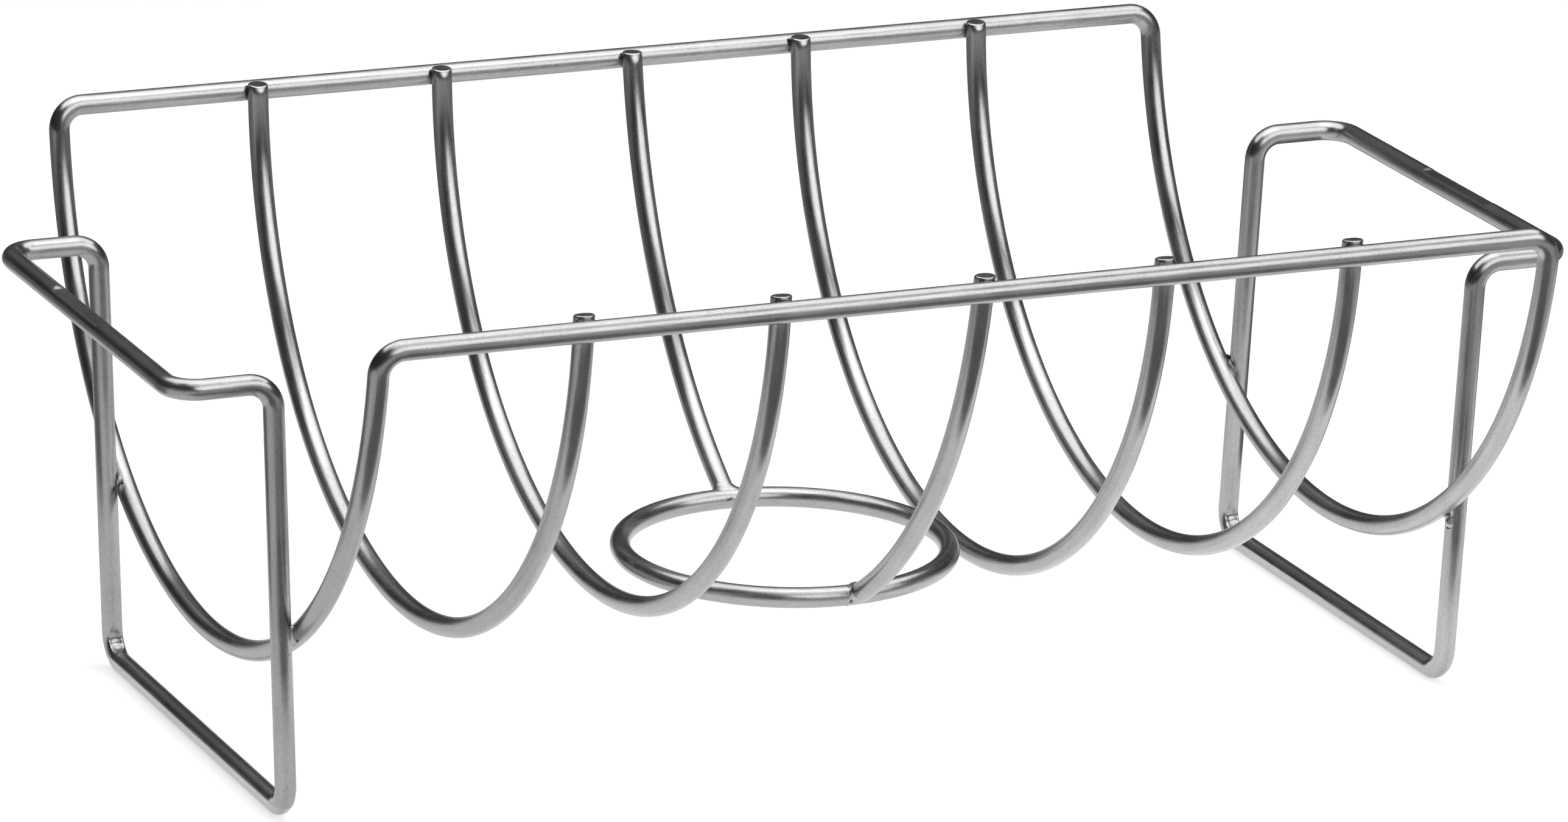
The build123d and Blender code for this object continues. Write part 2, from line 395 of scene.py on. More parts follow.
def half_rib_line(half_rib_x, side):
    """An arc from the tip beside the rail down to the ring's own line."""
    tip_z = tip_height(side)
    tip_y = math.sqrt(rib_radius**2 - (rib_centre_z - tip_z) ** 2)
    tip = Vector((half_rib_x, side * tip_y, tip_z))
    foot = Vector((half_rib_x, side * ring_radius, ring_centre.z))
    chord = foot - tip
    upwards = Vector((0, chord.z, -chord.y)).normalized()
    if upwards.z < 0:
        upwards.negate()
    centre = (tip + foot) / 2 + upwards * math.sqrt(half_rib_radius**2 - (chord.length / 2) ** 2)
    across = Y * side
    start = math.atan2(tip.z - centre.z, (tip.y - centre.y) * side)
    stop = math.atan2(foot.z - centre.z, (foot.y - centre.y) * side)
    return cut_arc(centre, half_rib_radius, start, stop, across, Z, cut_at_stop=False)


# ---------------------------------------------------------------- drawing a wire along its line


def drawn_wire_tree():
    """Geometry Nodes that sweep a round section along a line and keep two measures of the skin:
    how far along the wire a point is, and how far round it."""
    tree = bpy.data.node_groups.new("drawn_wire", "GeometryNodeTree")
    inputs = {"Line": "Geometry", "Wire radius": "Float", "Sides": "Int", "Metal": "Material"}
    for name, kind in inputs.items():
        tree.interface.new_socket(name, in_out="INPUT", socket_type="NodeSocket" + kind)
    tree.interface.new_socket("Skin", in_out="OUTPUT", socket_type="NodeSocketGeometry")
    given = add_node(tree, "NodeGroupInput")
    made = add_node(tree, "NodeGroupOutput")
    measure = add_node(tree, "GeometryNodeSplineParameter")
    width = add_node(tree, "GeometryNodeInputRadius")
    line = add_node(tree, "GeometryNodeCaptureAttribute")
    line.capture_items.new("FLOAT", "Along")
    circle = add_node(tree, "GeometryNodeCurvePrimitiveCircle", mode="RADIUS")
    section = add_node(tree, "GeometryNodeCaptureAttribute")
    section.capture_items.new("FLOAT", "Around")
    sweep = add_node(tree, "GeometryNodeCurveToMesh")
    sweep.inputs["Fill Caps"].default_value = True
    link = tree.links.new
    link(given.outputs["Line"], line.inputs["Geometry"])
    link(measure.outputs["Length"], line.inputs["Along"])
    link(given.outputs["Wire radius"], circle.inputs["Radius"])
    link(given.outputs["Sides"], circle.inputs["Resolution"])
    link(circle.outputs["Curve"], section.inputs["Geometry"])
    link(measure.outputs["Factor"], section.inputs["Around"])
    link(line.outputs["Geometry"], sweep.inputs["Curve"])
    link(section.outputs["Geometry"], sweep.inputs["Profile Curve"])
    link(width.outputs["Radius"], sweep.inputs["Scale"])
    skin = sweep.outputs["Mesh"]
    for name, value in (("along", line.outputs["Along"]), ("around", section.outputs["Around"])):
        store = add_node(tree, "GeometryNodeStoreNamedAttribute", data_type="FLOAT", domain="POINT")
        store.inputs["Name"].default_value = name
        link(skin, store.inputs["Geometry"])
        link(value, store.inputs["Value"])
        skin = store.outputs["Geometry"]
    smooth = add_node(tree, "GeometryNodeSetShadeSmooth")
    realize = add_node(tree, "GeometryNodeRealizeInstances")
    paint = add_node(tree, "GeometryNodeSetMaterial")
    for node in (smooth, realize, paint):
        link(skin, node.inputs["Geometry"])
        skin = node.outputs["Geometry"]
    link(given.outputs["Metal"], paint.inputs["Material"])
    link(skin, made.inputs["Skin"])
    return tree


wire_tree = drawn_wire_tree()


def set_inputs(modifier, values):
    """Sets a Geometry Nodes modifier's inputs, given by name, through their identifiers."""
    for item in modifier.node_group.interface.items_tree:
        if item.item_type == "SOCKET" and item.in_out == "INPUT" and item.name in values:
            modifier[item.identifier] = values[item.name]


def link_object(name, data):
    """A new object in the scene."""
    made = bpy.data.objects.new(name, data)
    bpy.context.scene.collection.objects.link(made)
    return made


def line_object(name, points, widths, closed):
    """A curve through points, each with the wire's width there."""
    curve = bpy.data.curves.new(name, "CURVE")
    curve.dimensions = "3D"
    spline = curve.splines.new("POLY")
    spline.points.add(len(points) - 1)
    for target, point, width in zip(spline.points, points, widths):
        target.co = (*point, 1)
        target.radius = width
    spline.use_cyclic_u = closed
    return link_object(name, curve)


def draw_wire(name, points, widths=None, closed=False):
    """The plain mesh of a wire along a line."""
    line = line_object(name + "_line", points, widths or [1.0] * len(points), closed)
    modifier = line.modifiers.new("drawn wire", "NODES")
    modifier.node_group = wire_tree
    set_inputs(modifier, {"Wire radius": wire_radius, "Sides": sides, "Metal": steel})
    graph = bpy.context.evaluated_depsgraph_get()
    mesh = bpy.data.meshes.new_from_object(line.evaluated_get(graph))
    mesh.name = name
    line.modifiers.remove(modifier)
    bpy.data.objects.remove(line)
    lengths = [(b - a).length for a, b in zip(points, points[1:] + points[:1])]
    unroll(mesh, sum(lengths) if closed else sum(lengths[:-1]))
    return link_object(name, mesh)


def vertex_values(mesh, name):
    """One kept measure of a mesh's vertices."""
    values = np.zeros(len(mesh.vertices), np.float32)
    mesh.attributes[name].data.foreach_get("value", values)
    return values.astype(float)


def unroll(mesh, length):
    """Lays the skin out flat: the straightened wire for patterns, and rows of it for the bake."""
    owner = np.zeros(len(mesh.loops), np.int32)
    mesh.loops.foreach_get("vertex_index", owner)
    counts = np.zeros(len(mesh.polygons), np.int32)
    mesh.polygons.foreach_get("loop_total", counts)
    face = np.repeat(np.arange(len(counts)), counts)
    along = vertex_values(mesh, "along")[owner]
    around = vertex_values(mesh, "around")[owner]
    tiny = 1e-5

    def face_mean(values):
        """The mean of each face's corners."""
        return np.bincount(face, values) / counts

    # the corners that close a loop take the far end's measure instead of nought
    along = np.where((along < tiny) & (face_mean(along)[face] > length / 4), length, along)
    around = np.where((around < tiny) & (face_mean(around)[face] > 0.25), 1.0, around)
    turn = 2 * math.pi * around
    straight = np.stack([np.cos(turn) * wire_radius, np.sin(turn) * wire_radius, along], 1)
    kept = mesh.attributes.new("straight", "FLOAT_VECTOR", "CORNER")
    kept.data.foreach_set("vector", straight.astype(np.float32).ravel())

    rows = math.ceil(math.sqrt(length / (2 * math.pi * wire_radius)))
    row = np.minimum((face_mean(along) / length * rows).astype(int), rows - 1)
    margin, row_start, row_width, cap_share = 0.06, 0.01, 0.94, 0.6
    first = along - row[face] * length / rows
    u = row_start + row_width * first / (length / rows)
    v = (row[face] + margin + (1 - 2 * margin) * around) / (rows + 1)
    # cut ends lie side by side in the last row
    caps = np.flatnonzero(counts > 4)
    cap_size = cap_share / (rows + 1)
    for place, cap in enumerate(caps):
        corners = face == cap
        u[corners] = (place + 0.5) * 1.5 * cap_size + np.cos(turn[corners]) * cap_size / 2
        v[corners] = (rows + 0.5) / (rows + 1) + np.sin(turn[corners]) * cap_size / 2
    layer = mesh.uv_layers.new(name="OFBake")
    layer.data.foreach_set("uv", np.stack([u, v], 1).astype(np.float32).ravel())


def cut_ends(piece):
    """The flat faces at a wire's ends get the sheared finish and a crisp edge."""
    piece.data.materials.append(cut_steel)
    for face in piece.data.polygons:
        if face.loop_total > 4:
            face.material_index = 1
            face.use_smooth = False
    return piece


def coordinates(mesh):
    """Where a mesh's vertices are, as rows of numbers."""
    places = np.zeros(len(mesh.vertices) * 3, np.float32)
    mesh.vertices.foreach_get("co", places)
    return places.reshape(-1, 3).astype(float)


def set_coordinates(mesh, places):
    """Moves a mesh's vertices to places."""
    mesh.vertices.foreach_set("co", places.astype(np.float32).ravel())
    mesh.update()


def eased(share):
    """A share from 0 to 1 that starts and ends gently."""
    share = np.clip(share, 0, 1)
    return share * share * (3 - 2 * share)


def softly_over(excess, softness):
    """As much of excess as is above nought, with a rounded corner there."""
    return softness * np.logaddexp(0, np.clip(excess / softness, -40, 60))


# ---------------------------------------------------------------- marks of making


def press_flat(mesh, side):
    """The flat coined into the top of a handle bar, with a short ramp at each end."""
    places = coordinates(mesh)
    centre_x = side * handle_x
    centre_y = -side * flat_offset
    beyond = (np.abs(places[:, 1] - centre_y) - (flat_length / 2 - flat_ramp)) / flat_ramp
    depth = flat_depth * eased(1 - beyond)
    ceiling = handle_z + wire_radius - depth
    on_bar = np.abs(places[:, 0] - centre_x) < 1.5 * wire_radius
    proud = np.where(on_bar, places[:, 2] - ceiling, -1.0)
    places[:, 2] -= np.where(depth > 0, softly_over(proud, flat_edge), 0)
    set_coordinates(mesh, places)


def press_dent(mesh, side):
    """The mark left by the bending tool on the inside of a leg's bottom back bend."""
    places = coordinates(mesh)
    bend_y, bend_z = post_y - foot_bend, foot_z + foot_bend
    away_y, away_z = places[:, 1] - bend_y, places[:, 2] - bend_z
    inner_radius = foot_bend - wire_radius
    on_post = away_z > 0
    # how far a point lies inwards of the wire's middle, along the inner side, and across
    height = np.where(on_post, away_y, np.hypot(away_y, away_z))
    inwards = foot_bend - height
    angle = np.where(on_post, math.pi / 2, np.arctan2(away_y, -away_z))
    along = angle * inner_radius + np.where(on_post, away_z, 0) - dent_place
    lean = np.clip(away_z + foot_bend, 0, None) * math.tan(leg_lean)
    across = places[:, 0] - side * (foot_x + lean)
    # only the skin of this bend's own wire
    skin_reach = 1.2 * wire_radius
    near = (angle > 0) & (np.abs(inwards) < skin_reach) & (np.abs(across) < skin_reach)
    depth = dent_depth * np.clip(1 - (along / dent_half_length) ** 2, 0, 1)
    ceiling = wire_radius - depth + dent_hollow * (across / MM) ** 2
    from_bar = ((along - dent_bar_place) / dent_bar_half_length) ** 2
    from_bar += (across / dent_bar_half_width) ** 2
    ceiling += dent_bar_height * np.exp(-from_bar)
    dent = softly_over(inwards - ceiling, dent_edge)
    share = np.where(near & (depth > 0), dent / np.maximum(height, MM), 0)
    places[:, 1] += away_y * share
    places[:, 2] += np.where(on_post, 0, away_z * share)
    set_coordinates(mesh, places)


def shear_tip(mesh, tip, axis, inwards, seed):
    """A tip as the shears left it: cut askew, and rolled over on the side that faces the basket.

    axis points out of the wire at its tip."""
    places = coordinates(mesh)
    tip, axis, inwards = (np.array(v, float) for v in (tip, axis.normalized(), inwards))
    inwards = inwards - axis * inwards.dot(axis)
    inwards /= np.linalg.norm(inwards)
    offset = places - tip
    depth = -(offset @ axis)
    near = (np.abs(depth) < 3 * wire_radius) & (np.linalg.norm(offset, axis=1) < 4 * wire_radius)
    to_inside = offset @ inwards
    cross = offset + np.outer(depth, axis)
    slant = math.tan(shear_angle) * eased(1 - depth / shear_length)
    facing = np.clip(to_inside / wire_radius, 0, 1) ** 1.5
    ragged = np.ones(len(places))
    ragged[near] += roll_ragged * rippled(places[near] * (1, 1, 0.4), roll_grain, seed)
    roll = roll_depth * np.clip(1 - depth / roll_length * ragged, 0, 1) ** 2 * facing
    moved = places - np.outer(to_inside * slant, axis) - unit(cross + 1e-9) * roll[:, None]
    set_coordinates(mesh, np.where(near[:, None], moved, places))


# ---------------------------------------------------------------- weld metal

bead_points = 96               # round a bead's seam
bead_rows = 10                 # from one wire up over the bead to the other
seam_rounds = 30               # of closing in on the seam
bead_edge_sink = 0.05 * MM     # of its edges, under the skin of the wires
bead_root = 0.5 * MM           # how deep its closed underside lies in the joint
bead_edge_grain = 1.6 * MM
bead_crown_grain = 1.1 * MM
bead_lump_grain = 0.9 * MM
bead_lump_height = 0.35 * MM


def as_array(points):
    """Points as rows of numbers."""
    return np.array([tuple(p) for p in points], float)


def near_part(line, place, reach):
    """The stretch of a line that lies within reach of a place."""
    points = as_array(line)
    close = np.linalg.norm(points - np.array(place), axis=1) < reach
    return points[close]


def outwards(line, points):
    """From a wire's line to points: the distances, and the directions."""
    start, run = line[:-1], line[1:] - line[:-1]
    gap = points[:, None, :] - start[None]
    share = np.clip((gap * run).sum(2) / (run * run).sum(1), 0, 1)
    away = gap - share[..., None] * run
    distance = np.linalg.norm(away, axis=2)
    nearest = distance.argmin(1)
    rows = np.arange(len(points))
    away, distance = away[rows, nearest], distance[rows, nearest]
    return distance, away / distance[:, None]


def onto(line, points, lift=0.0):
    """Points moved straight onto a wire's skin, or lift above it."""
    distance, direction = outwards(line, points)
    return points + direction * (wire_radius + lift - distance)[:, None]


def unit(vectors):
    """Vectors brought to a length of one."""
    return vectors / np.linalg.norm(vectors, axis=-1, keepdims=True)


def seam_between(line_a, line_b, middle, normal):
    """The closed seam where two wires' skins meet, round the normal through middle."""
    normal = Vector(normal).normalized()
    first = normal.orthogonal().normalized()
    second = normal.cross(first)
    turns = np.linspace(0, 2 * math.pi, bead_points, endpoint=False)
    spokes = np.outer(np.cos(turns), first) + np.outer(np.sin(turns), second)
    points = np.array(middle) + spokes * wire_radius
    for _ in range(seam_rounds):
        far_a, up_a = outwards(line_a, points)
        far_b, up_b = outwards(line_b, points)
        miss_a, miss_b = far_a - wire_radius, far_b - wire_radius
        lean = (up_a * up_b).sum(1)
        spread = np.maximum(1 - lean**2, 0.05)
        points = points - ((miss_a - lean * miss_b) / spread)[:, None] * up_a
        points = points - ((miss_b - lean * miss_a) / spread)[:, None] * up_b
    return points


def rippled(points, size, seed):
    """Smooth noise from -1 to 1 at points; size is its grain in metres."""
    shift = Vector((seed * 3.7, seed * 1.3, seed * 7.1))
    return np.array([noise.fractal(Vector(p) / size + shift, 1.0, 2.0, 3) for p in points])


def weld_bead(line_a, line_b, middle, normal, spread, bulge, lumps, seed, heavy):
    """A bead of weld metal laid along the seam of two wires.

    spread is how far it reaches up each wire, and bulge lifts it from a hollow fillet to a full bead;
    it is heavier on the side that heavy points to.
    Returns vertices and faces of one closed skin, sunk into both wires along its edges."""
    seam = seam_between(line_a, line_b, middle, normal)
    _, up_a = outwards(line_a, seam)
    _, up_b = outwards(line_b, seam)
    heading = unit(np.roll(seam, -1, 0) - np.roll(seam, 1, 0))
    along_a = unit(np.cross(heading, up_a))
    along_a *= np.sign((along_a * up_b).sum(1))[:, None]
    along_b = unit(np.cross(heading, up_b))
    along_b *= np.sign((along_b * up_a).sum(1))[:, None]
    weight = 1 + unit(seam - np.array(middle)) @ np.array(heavy, float)
    uneven_a = weight * (1 + lumps * rippled(seam, bead_edge_grain, seed))
    uneven_b = weight * (1 + lumps * rippled(seam, bead_edge_grain, seed + 5))
    edge_a = onto(line_a, seam + along_a * (spread * uneven_a)[:, None], -bead_edge_sink)
    edge_b = onto(line_b, seam + along_b * (spread * uneven_b)[:, None], -bead_edge_sink)
    outward = unit(up_a + up_b)
    lift = bulge * weight * (1 + 1.5 * lumps * rippled(seam, bead_crown_grain, seed + 9))
    crown = seam + outward * lift[:, None]
    rings = []
    for row in range(bead_rows + 1):
        t = row / bead_rows
        ring = (1 - t) ** 2 * edge_a + 2 * t * (1 - t) * crown + t**2 * edge_b
        bumps = rippled(ring, bead_lump_grain, seed + 2) * lumps * bead_lump_height * math.sin(math.pi * t)
        rings.append(ring + outward * bumps[:, None])
    rings.append(seam - outward * bead_root)
    vertices = np.concatenate(rings)
    faces = []
    for row in range(len(rings)):
        below = (row + 1) % len(rings)
        for i in range(bead_points):
            j = (i + 1) % bead_points
            ring_corners = ((row, i), (row, j), (below, j), (below, i))
            faces.append(tuple(ring_row * bead_points + place for ring_row, place in ring_corners))
    return vertices, faces


def nugget(place, sizes, seed, axis=(0, 0, 1)):
    """A drop of metal at a place; of its half sizes, in mm, the last lies along axis.

    Returns vertices and faces."""
    ball = bmesh.new()
    bmesh.ops.create_icosphere(ball, subdivisions=3, radius=1)
    vertices = np.array([tuple(v.co) for v in ball.verts])
    faces = [tuple(v.index for v in f.verts) for f in ball.faces]
    ball.free()
    lumps, grain = 0.3, 1.2
    vertices *= (1 + lumps * rippled(vertices, grain, seed))[:, None]
    turn = np.array(Vector(axis).to_track_quat("Z", "Y").to_matrix())
    return place + (vertices * np.array(sizes) * MM) @ turn.T, faces


def on_wire(line, middle, offset, sunk=0.0):
    """The place on a wire's skin, or sunk into it, that is offset from middle; both in mm."""
    return onto(line, np.array([Vector(middle) + Vector(offset) * MM]), -sunk * MM)[0]


def on_bead(bead, middle, offset):
    """The place on a bead's skin that is nearest to an offset, in mm, from middle."""
    skin, _ = bead
    away = skin - np.array(Vector(middle) + Vector(offset) * MM)
    return skin[np.linalg.norm(away, axis=1).argmin()]


def joined_piece(name, skins, materials):
    """One mesh object from several closed skins, each given with the number of its material."""
    vertices, faces, kinds = [], [], []
    for (skin_vertices, skin_faces), kind in skins:
        start = len(vertices)
        vertices += [tuple(v) for v in skin_vertices]
        faces += [tuple(start + i for i in face) for face in skin_faces]
        kinds += [kind] * len(skin_faces)
    mesh = bpy.data.meshes.new(name)
    mesh.from_pydata(vertices, [], faces)
    for material in materials:
        mesh.materials.append(material)
    mesh.polygons.foreach_set("material_index", kinds)
    shell = bmesh.new()
    shell.from_mesh(mesh)
    bmesh.ops.recalc_face_normals(shell, faces=shell.faces)
    shell.to_mesh(mesh)
    shell.free()
    mesh.shade_smooth()
    return link_object(name, mesh)


def settle(piece, slot, *nodes):
    """A finished piece rides on the rack and stands for its CAD nodes; slot is not used."""
    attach(piece, "root")
    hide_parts(*nodes)


# ---------------------------------------------------------------- the wires

lines = {"basket_frame": basket_line(), "can_ring": ring_line()}
basket = draw_wire("basket_wire", lines["basket_frame"], closed=True)
settle(basket, "wire", "basket_frame")
ring = draw_wire("can_ring_wire", lines["can_ring"], closed=True)
settle(ring, "wire", "can_ring")

rib_places = {}
for rib_name in ("rib_1", "rib_2", "rib_4", "rib_5"):
    low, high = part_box(rib_name)
    rib_places[rib_name] = (low.x + high.x) / 2
    points, widths = rib_line(rib_places[rib_name])
    lines[rib_name] = points
    rib = cut_ends(draw_wire(rib_name + "_wire", points, widths))
    shear_tip(rib.data, points[0], points[0] - points[1], -Y, SEED + len(rib_places))
    shear_tip(rib.data, points[-1], points[-1] - points[-2], Y, SEED - len(rib_places))
    settle(rib, "wire", rib_name)

for half_name, side in (("half_rib_front", -1), ("half_rib_back", 1)):
    low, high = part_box(half_name)
    rib_places[half_name] = (low.x + high.x) / 2
    points, widths = half_rib_line(rib_places[half_name], side)
    lines[half_name] = points
    half_rib = cut_ends(draw_wire(half_name + "_wire", points, widths))
    shear_tip(half_rib.data, points[0], points[0] - points[1], -Y * side, SEED + 20 * side)
    settle(half_rib, "wire", half_name)

for leg_name, side in (("leg_left", -1), ("leg_right", 1)):
    lines[leg_name] = leg_line(side)
    leg = draw_wire(leg_name + "_wire", lines[leg_name], closed=True)
    press_flat(leg.data, side)
    press_dent(leg.data, side)
    settle(leg, "wire", leg_name)

# ---------------------------------------------------------------- the welds

BURNT_AND_SHADE, SCORCHED, POLISHED = 0, 1, 2
weld_metals = [burnt_weld_and_shade, scorched_weld, polished_weld]
weld_reach = 16 * MM

rail_weld_spread = 0.75 * MM
rail_weld_bulge = 0.25 * MM
rail_weld_lumps = 0.5
rail_weld_run_out = (-0.55, 0, 0)    # the metal has run out on the left of each rib
rail_weld_stop = 0.7 * MM            # how far below the rib's cut end the bead stops
drops_to_a_rail_weld = 3

rail_skins = []
for rib_number, (rib_name, rib_x) in enumerate(rib_places.items()):
    for side in (-1, 1):
        if rib_name.startswith("half") and not rib_name.endswith("front" if side < 0 else "back"):
            continue
        middle = Vector((rib_x, side * (rail_y - wire_radius + rib_set_in / 2), rail_z))
        rail_part = near_part(lines["basket_frame"], middle, weld_reach)
        rib_part = near_part(lines[rib_name], middle, weld_reach)
        seed = SEED + rib_number * 7 + side
        shape = (rail_weld_spread, rail_weld_bulge, rail_weld_lumps, seed, rail_weld_run_out)
        vertices, faces = weld_bead(rail_part, rib_part, middle, Y, *shape)
        vertices[:, 2] = np.minimum(vertices[:, 2], tip_height(side) - rail_weld_stop)
        # the bead is near-black burnt metal: the burn of the weld, and painted shade of the crevice
        # between rib and rail
        rail_skins.append(((vertices, faces), BURNT_AND_SHADE))
        for drop in range(drops_to_a_rail_weld):
            sideways = noise.noise(Vector((seed * 1.7, drop * 2.3, 0.5)))
            upwards = noise.noise(Vector((seed * 0.9, drop * 3.1, 4.5)))
            # in mm: left of the rib, on the rail's inner side, and more or less high on it
            offset = (-2.6 + 1.2 * sideways, -side * 1.4, 3.2 * upwards)
            size = 0.22 + 0.12 * abs(sideways)
            skin = nugget(on_wire(rail_part, middle, offset), (size, size, size * 1.3), seed + drop)
            rail_skins.append((skin, POLISHED if drop == 0 else SCORCHED))
settle(joined_piece("rail_weld_metal", rail_skins, weld_metals), "weld", "rail_welds")

post_contact_z = end_u_centre_z - math.sqrt(end_u_radius**2 - post_y**2)
# a weld to each side (-1 left) and hand (-1 front), sizes in mm
leg_welds = {
    # the bead: metal, spread, bulge, lumps, and how much heavier upwards
    # the drops: on what, metal, offset, half sizes, and how far sunk
    (-1, -1): (
        (POLISHED, 1.9, 0.1, 0.12, -0.25),
        (
            ("bead", BURNT_AND_SHADE, (1.6, -3.0, -0.9), (0.3, 0.3, 0.5), 0.0),
            ("bead", POLISHED, (2.0, -3.2, -1.4), (0.3, 0.3, 0.35), 0.0),
            ("bead", BURNT_AND_SHADE, (2.4, -3.2, -0.6), (0.2, 0.2, 0.4), 0.0),
            ("bead", SCORCHED, (1.3, -3.0, -1.6), (0.2, 0.2, 0.35), 0.0),
            ("post", SCORCHED, (-2.2, -3.0, -3.2), (0.18, 0.18, 0.35), 0.0),
            ("post", SCORCHED, (-0.8, -3.0, -5.0), (0.18, 0.18, 0.3), 0.0),
        ),
    ),
    (-1, 1): (
        (SCORCHED, 1.4, 0.3, 0.6, 0.6),
        (
            ("bead", BURNT_AND_SHADE, (1.2, -2.4, 3.6), (0.5, 0.5, 0.9), 0.0),
            ("bead", BURNT_AND_SHADE, (1.2, -2.4, 1.0), (0.4, 0.4, 0.7), 0.0),
            ("bead", BURNT_AND_SHADE, (1.2, -2.4, 6.0), (0.35, 0.35, 0.5), 0.0),
            ("post", POLISHED, (2.0, -1.8, 6.6), (0.4, 0.4, 0.6), 0.0),
            ("bead", POLISHED, (1.2, -2.4, 2.3), (0.3, 0.3, 0.4), 0.0),
        ),
    ),
    (1, -1): (
        (POLISHED, 1.9, 0.1, 0.15, -0.5),
        (
            ("bead", BURNT_AND_SHADE, (-2.6, -2.8, -0.6), (0.9, 0.5, 0.6), 0.0),
            ("post", POLISHED, (-2.9, -2.8, -4.1), (1.9, 1.2, 2.3), 0.55),
            ("post", BURNT_AND_SHADE, (-2.6, -2.8, -6.1), (1.1, 0.55, 0.3), 0.42),
            ("bead", POLISHED, (-3.4, -2.8, -1.2), (0.4, 0.3, 0.3), 0.0),
            ("post", SCORCHED, (-0.6, -2.8, -3.0), (0.3, 0.3, 0.9), 0.1),
        ),
    ),
    (1, 1): (
        (SCORCHED, 1.2, 0.3, 0.3, 0.4),
        (
            ("u", BURNT_AND_SHADE, (2.6, 0.4, 4.0), (1.0, 0.95, 2.4), 0.1),
        ),
    ),
}
leg_skins = []
for (side, hand), (bead, drops) in leg_welds.items():
    middle = Vector((side * (end_x + wire_radius), hand * post_y, post_contact_z))
    wires = {
        "u": near_part(lines["basket_frame"], middle, weld_reach),
        "post": near_part(lines["leg_left" if side < 0 else "leg_right"], middle, weld_reach),
    }
    metal, spread, bulge, lumps, upwards = bead
    seed = SEED + 50 + side * 3 + hand
    shape = (spread * MM, bulge * MM, lumps, seed, (0, 0, upwards))
    skin = weld_bead(wires["u"], wires["post"], middle, X, *shape)
    leg_skins.append((skin, metal))
    for i, (host, metal, offset, sizes, sunk) in enumerate(drops):
        if host == "bead":
            place = on_bead(skin, middle, offset)
        else:
            place = on_wire(wires[host], middle, offset, sunk)
        axis = (0, hand, 0.65) if host == "u" else Z
        leg_skins.append((nugget(place, sizes, seed + 20 + i, axis), metal))
settle(joined_piece("leg_weld_metal", leg_skins, weld_metals), "weld", "leg_welds")


def burnt_and_shade_drops_down_the_ring(seed):
    """Burnt metal down the front of the ring, left of the rib's end: the burn of the weld, and painted
    shade of the pocket at the joint.
    """
    drops = []
    out = wire_radius / MM
    # degrees up the ring's front, from its widest line
    for number, degrees in enumerate((66, 46, 24, 6, -20)):
        turn = math.radians(degrees)
        shift = noise.noise(Vector((number * 1.7, 3.3, seed)))
        offset = (-3.1 + 1.2 * shift - 0.1 * number, -out * math.cos(turn), out * math.sin(turn))
        sizes = (0.3 + 0.6 * abs(shift), 0.3, 0.9 - 0.5 * shift)
        axis = (0.3 * shift, math.sin(turn), math.cos(turn))
        drops.append((BURNT_AND_SHADE, offset, sizes, axis, 0.1, number))
    return drops


ring_weld_seed = SEED + 80
ring_weld_lumps = 0.1
ring_weld_lean = (0, -0.15, 0)        # it is a little heavier in front
ring_weld_run_on = 4                  # mm that the half rib's line is carried on for the seam
ring_weld_back = 1.1 * wire_radius    # from the ring's line up the rib to the bead's middle
# a weld to each side (-1 front), sizes in mm
ring_welds = {
    # the bead: spread and bulge
    # the drops: metal, offset, half sizes, axis, how far sunk, and its number
    -1: (
        (1.7, 0.05),
        (
            *burnt_and_shade_drops_down_the_ring(ring_weld_seed - 1),
            (POLISHED, (-4.1, -2.6, 0.9), (0.2, 0.2, 0.45), Z, 0.0, 9),
            (POLISHED, (-4.0, -1.6, -2.2), (0.2, 0.2, 0.45), Z, 0.0, 9),
        ),
    ),
    1: (
        (2.4, 0.15),
        (
            # a small crack low on the ring, with a bright lip above it
            (BURNT_AND_SHADE, (-0.7, -2.8, 0.6), (0.2, 0.2, 1.0), (1, 0, 0.4), 0.0, 5),
            (POLISHED, (-0.7, -2.6, 1.1), (0.25, 0.2, 1.0), (1, 0, 0.3), 0.0, 6),
        ),
    ),
}
ring_skins = []
for half_name, side in (("half_rib_front", -1), ("half_rib_back", 1)):
    (spread, bulge), drops = ring_welds[side]
    seed = ring_weld_seed + side
    middle = Vector((rib_places[half_name], side * ring_radius, ring_centre.z))
    ring_part = near_part(lines["can_ring"], middle, weld_reach)
    rib_part = near_part(lines[half_name], middle, weld_reach)
    heading = Vector(rib_part[-1] - rib_part[-2]).normalized()
    beyond = [rib_part[-1] + np.array(heading) * MM * i for i in range(1, ring_weld_run_on + 1)]
    rib_part = np.concatenate([rib_part, np.array(beyond)])
    start = middle - heading * ring_weld_back
    shape = (spread * MM, bulge * MM, ring_weld_lumps, seed, ring_weld_lean)
    ring_skins.append((weld_bead(ring_part, rib_part, start, heading, *shape), POLISHED))
    for metal, offset, sizes, axis, sunk, number in drops:
        place = on_wire(ring_part, middle, offset, sunk)
        ring_skins.append((nugget(place, sizes, seed + number, axis), metal))
settle(joined_piece("ring_weld_metal", ring_skins, weld_metals), "weld", "ring_welds")

# ---------------------------------------------------------------- floor, flags, lights and camera

floor_half = 6.0
floor_colour, floor_lift = 0.7, 0.58    # the lift brings it up to white

wall_radius, wall_foot, wall_top = 3.4, 0.02, 3.3
wall_corners = 48
dark_wall, dim_wall = 0.032, 0.055
dim_wall_stretch = (-25, 110)    # degrees round from +X, behind the rack and to its right

glow_radius, glow_level = 3.3, 0.16
glow_angles = range(62, 117, 9)  # degrees
glow_heights = (1.35, 3.2)

panel_place = (0.05, -1.14, 3.29)
panel_radius, panel_level = 1.42, 1.3

floor_flag_height = 4 * MM
floor_flag_columns = (-3.4, -0.54, -0.30, -0.10, 0.05, 0.24, 0.50, 3.4)
floor_flag_rows = (-3.4, -0.40, -0.160, 0.0, 0.14, 0.42, 3.4)
